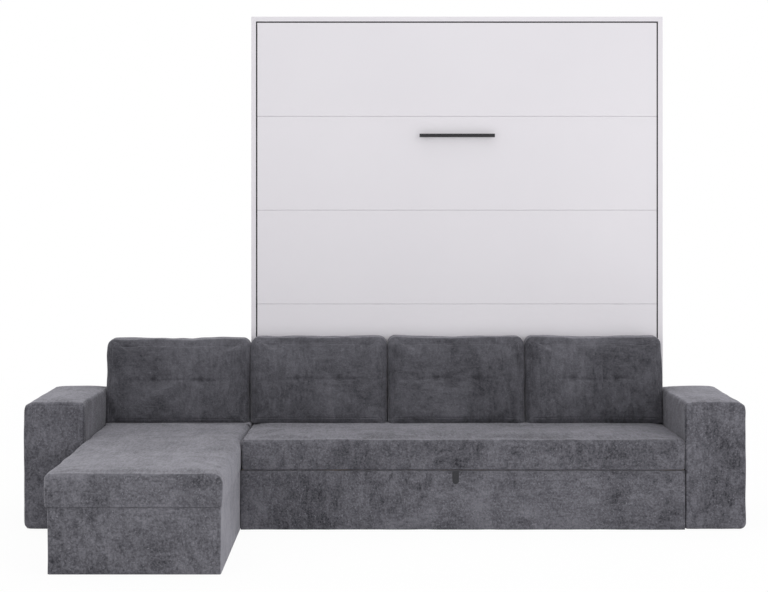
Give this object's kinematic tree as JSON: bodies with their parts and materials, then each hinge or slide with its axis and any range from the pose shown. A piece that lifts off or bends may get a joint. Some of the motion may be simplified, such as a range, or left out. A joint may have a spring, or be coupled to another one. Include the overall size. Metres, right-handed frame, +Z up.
{
  "type": "wall bed",
  "caption": "Vertical folding double bed in a wall cabinet, with a corner sofa, storage chaise, bedding drawer and loose back cushions built in front of it.",
  "frame": {"origin": "on the floor, in the middle of the unit's plan", "axes": "+X to the right along the wall seen from the room, +Y towards the wall, +Z up"},
  "size_m": [2.852, 1.99, 2.095],
  "materials": {
    "white_board": "satin white melamine",
    "inner_board": "satin white melamine",
    "steel": "zinc plated",
    "black_metal": "matt black",
    "grey_metal": "grey powder coat",
    "plastic": "black",
    "wood": "plain plywood and beech",
    "upholstery": "dark grey crushed plush",
    "mattress_fabric": "quilted ticking",
    "webbing": "woven webbing"
  },
  "bodies": {
    "root": {"cabinet_side_left": "white_board", "cabinet_side_right": "white_board", "cabinet_top": "white_board", "cabinet_base_board": "inner_board", "cabinet_rear_rail_top": "inner_board", "cabinet_rear_rail_bottom": "inner_board", "wall_plates": "steel", "mechanism_plates": "steel", "bed_stop_blocks": "inner_board", "arm_cover_left": "upholstery", "arm_frame_left": "wood", "arm_cover_right": "upholstery", "arm_frame_right": "wood", "seat_base_boards": "wood", "seat_deck": "wood", "seat_cushion": "upholstery", "drawer_runners_outer": "steel", "chaise_carcass": "wood", "chaise_cover": "upholstery", "chaise_rear_cushion": "upholstery", "lid_hinge_fixed": "steel", "chaise_backrest": "upholstery", "sofa_glides": "plastic"},
    "bed": {"front_board_1": "white_board", "front_board_2": "white_board", "front_board_3": "white_board", "front_board_4": "white_board", "front_board_5": "white_board", "bed_side_rail_left": "grey_metal", "bed_side_rail_right": "grey_metal", "bed_inner_beams": "wood", "slats": "wood", "slat_holders": "plastic", "pivot_bushings": "plastic", "handle_bar": "black_metal", "handle_posts": "black_metal", "mattress": "mattress_fabric", "mattress_straps": "webbing", "gas_spring_studs": "steel", "leg_pivot_brackets": "grey_metal"},
    "leg": {"leg_arms": "grey_metal", "leg_crossbar": "grey_metal", "leg_foot_pads": "plastic"},
    "spring_cylinder_left": {"gas_cylinder_left": "black_metal"},
    "spring_cylinder_right": {"gas_cylinder_right": "black_metal"},
    "spring_rod_left": {"gas_rod_left": "steel"},
    "spring_rod_right": {"gas_rod_right": "steel"},
    "drawer": {"drawer_front_board": "wood", "drawer_front_cover": "upholstery", "drawer_box_boards": "wood", "drawer_bottom": "wood", "drawer_runners_inner": "steel", "pull_strap": "webbing"},
    "chaise_lid": {"chaise_lid_board": "wood", "chaise_lid_cushion": "upholstery", "lid_hinge_moving": "steel"},
    "cushion_chaise": {"back_cushion_chaise": "upholstery"},
    "cushion_left": {"back_cushion_left": "upholstery"},
    "cushion_middle": {"back_cushion_middle": "upholstery"},
    "cushion_right": {"back_cushion_right": "upholstery"}
  },
  "joints": [
    {"name": "bed_fold", "type": "hinge", "parent": "root", "child": "bed", "pos_m": [0.3139, 0.585, 0.418], "axis": [1, 0, 0], "range_deg": [0, 90]},
    {"name": "leg_fold", "type": "hinge", "parent": "bed", "child": "leg", "pos_m": [0.3139, 0.645, 2.0385], "axis": [1, 0, 0], "range_deg": [0, 249.21]},
    {"name": "spring_swing_left", "type": "hinge", "parent": "root", "child": "spring_cylinder_left", "pos_m": [-0.5366, 0.615, 0.64], "axis": [1, 0, 0], "range_deg": [0, 15.85]},
    {"name": "spring_rod_slide_left", "type": "slide", "parent": "spring_cylinder_left", "child": "spring_rod_left", "axis": [0, 0.0331, 0.9995], "range_m": [0, 0.09417]},
    {"name": "spring_swing_right", "type": "hinge", "parent": "root", "child": "spring_cylinder_right", "pos_m": [1.1644, 0.615, 0.64], "axis": [1, 0, 0], "range_deg": [0, 15.85]},
    {"name": "spring_rod_slide_right", "type": "slide", "parent": "spring_cylinder_right", "child": "spring_rod_right", "axis": [0, 0.0331, 0.9995], "range_m": [0, 0.09417]},
    {"name": "cushion_clear_left", "type": "hinge", "parent": "root", "child": "cushion_left", "pos_m": [-0.2815, -0.441, -0.784], "axis": [1, 0, 0], "range_deg": [0, 90.05]},
    {"name": "cushion_clear_middle", "type": "hinge", "parent": "root", "child": "cushion_middle", "pos_m": [0.3055, -0.441, -0.784], "axis": [1, 0, 0], "range_deg": [0, 90.05]},
    {"name": "cushion_clear_right", "type": "hinge", "parent": "root", "child": "cushion_right", "pos_m": [0.8925, -0.441, -0.784], "axis": [1, 0, 0], "range_deg": [0, 90.05]},
    {"name": "drawer_slide", "type": "slide", "parent": "root", "child": "drawer", "axis": [0, -1, 0], "range_m": [0, 0.4]},
    {"name": "chaise_lid_open", "type": "hinge", "parent": "root", "child": "chaise_lid", "pos_m": [-0.8775, 0.3318, 0.35], "axis": [-1, 0, 0], "range_deg": [0, 55]},
    {"name": "cushion_lift_chaise", "type": "slide", "parent": "root", "child": "cushion_chaise", "axis": [0, 0, 1], "range_m": [0, 0.5]}
  ],
  "couplings": [
    {"joint": "leg_fold", "follows": "bed_fold", "ratio": 2.7684},
    {"joint": "spring_swing_left", "follows": "bed_fold", "ratio": 0.17555},
    {"joint": "spring_rod_slide_left", "follows": "bed_fold", "m_per_rad": 0.059886},
    {"joint": "spring_swing_right", "follows": "bed_fold", "ratio": 0.17555},
    {"joint": "spring_rod_slide_right", "follows": "bed_fold", "m_per_rad": 0.059886},
    {"joint": "cushion_clear_left", "follows": "bed_fold", "ratio": 1},
    {"joint": "cushion_clear_middle", "follows": "bed_fold", "ratio": 1},
    {"joint": "cushion_clear_right", "follows": "bed_fold", "ratio": 1}
  ]
}
